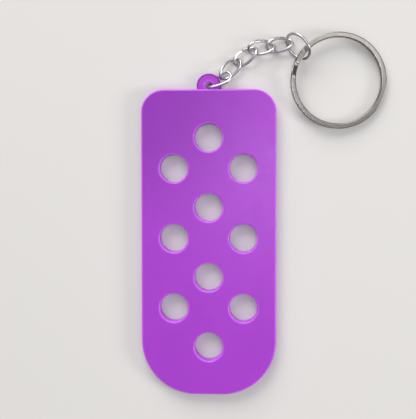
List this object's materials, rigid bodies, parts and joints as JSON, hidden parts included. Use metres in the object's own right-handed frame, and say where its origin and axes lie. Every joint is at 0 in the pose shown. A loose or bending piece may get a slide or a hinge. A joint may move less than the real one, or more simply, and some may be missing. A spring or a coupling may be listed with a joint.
{
  "type": "charm holder keychain",
  "caption": "Soft moulded plate with round holes for push-in charms, hung from a split key ring by a short twisted-link chain and a jump ring.",
  "frame": {"origin": "centre of the plate on its back face, which rests on the surface", "axes": "+Y along the plate towards the eyelet and the chain, +X to the right seen from the front face, +Z out of the front face"},
  "size_m": [0.0759, 0.1124, 0.0087],
  "materials": {
    "soft_plastic": "satin purple moulded soft PVC",
    "nickel_wire": "bright nickel-plated steel wire",
    "key_ring_steel": "nickel-plated spring steel, slightly satin"
  },
  "bodies": {
    "plate": {"charm_plate": "soft_plastic"},
    "link_1": {"chain_link_1": "nickel_wire"},
    "link_2": {"chain_link_2": "nickel_wire"},
    "link_3": {"chain_link_3": "nickel_wire"},
    "link_4": {"chain_link_4": "nickel_wire"},
    "link_5": {"chain_link_5": "nickel_wire"},
    "jump_ring": {"jump_ring": "nickel_wire"},
    "split_ring": {"split_ring": "key_ring_steel"}
  },
  "joints": [
    {"name": "eyelet_swing", "type": "hinge", "parent": "plate", "child": "link_1", "pos_m": [0, 0.0487, 0.0017], "axis": [0, 0, 1], "range_deg": [-9, 100]},
    {"name": "link_2_fold", "type": "hinge", "parent": "link_1", "child": "link_2", "pos_m": [0.00574, 0.0521, 0.00308], "axis": [0.581, -0.8139, 0], "range_deg": [-60, 26]},
    {"name": "link_3_swing", "type": "hinge", "parent": "link_2", "child": "link_3", "pos_m": [0.00894, 0.056, 0.0015], "axis": [0, 0, -1], "range_deg": [-40, 15]},
    {"name": "link_4_fold", "type": "hinge", "parent": "link_3", "child": "link_4", "pos_m": [0.0135, 0.0601, 0.00223], "axis": [-0.3171, 0.9484, 0], "range_deg": [-26, 60]},
    {"name": "link_5_swing", "type": "hinge", "parent": "link_4", "child": "link_5", "pos_m": [0.0192, 0.0607, 0.0015], "axis": [0, 0, 1], "range_deg": [-12, 50]},
    {"name": "jump_ring_fold", "type": "hinge", "parent": "link_5", "child": "jump_ring", "pos_m": [0.02409, 0.0616, 0.00136], "axis": [0.156, -0.9878, 0], "range_deg": [-50, 45]},
    {"name": "split_ring_spin", "type": "hinge", "parent": "jump_ring", "child": "split_ring", "pos_m": [0.04005, 0.05005, 0.0023], "axis": [0.0706, -0.0439, 0.9965], "continuous": true}
  ]
}
